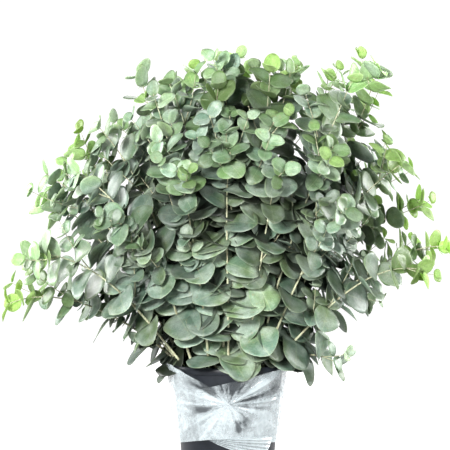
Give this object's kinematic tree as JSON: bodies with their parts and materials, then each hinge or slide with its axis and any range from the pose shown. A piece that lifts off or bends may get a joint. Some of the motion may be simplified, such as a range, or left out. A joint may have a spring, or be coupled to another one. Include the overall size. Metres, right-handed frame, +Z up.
{
  "type": "eucalyptus bunch in a bucket",
  "caption": "Bunch of cut silver-dollar eucalyptus branches standing in a tapered black plastic florist's bucket with a clear film wrap.",
  "frame": {"origin": "centre of the bucket's flat underside", "axes": "+Z up, the bunch's front towards -Y, its longest spread along X"},
  "size_m": [0.788, 0.5306, 0.7788],
  "materials": {
    "foliage": "waxy, matte to satin",
    "plastic": "semi-gloss moulded",
    "clear": "clear crinkled film"
  },
  "bodies": {
    "root": {"bucket": "plastic", "film_wrap": "clear", "branch_01": "foliage", "branch_02": "foliage", "branch_03": "foliage", "branch_04": "foliage", "branch_05": "foliage", "branch_06": "foliage", "branch_07": "foliage", "branch_08": "foliage", "branch_09": "foliage", "branch_10": "foliage", "branch_11": "foliage", "branch_12": "foliage", "branch_13": "foliage", "branch_14": "foliage", "branch_15": "foliage", "branch_16": "foliage", "branch_17": "foliage", "branch_18": "foliage", "branch_19": "foliage", "branch_20": "foliage", "branch_21": "foliage", "branch_22": "foliage", "branch_23": "foliage", "branch_24": "foliage", "branch_25": "foliage", "branch_26": "foliage", "branch_27": "foliage", "branch_28": "foliage", "branch_29": "foliage", "branch_30": "foliage", "branch_31": "foliage", "branch_32": "foliage", "branch_33": "foliage", "branch_34": "foliage", "branch_35": "foliage", "branch_36": "foliage", "branch_37": "foliage", "branch_38": "foliage", "branch_39": "foliage", "branch_40": "foliage", "branch_41": "foliage", "branch_42": "foliage", "branch_43": "foliage", "branch_44": "foliage", "branch_45": "foliage", "branch_46": "foliage", "branch_47": "foliage", "branch_48": "foliage", "branch_49": "foliage", "branch_50": "foliage", "branch_51": "foliage", "branch_52": "foliage"}
  },
  "joints": []
}
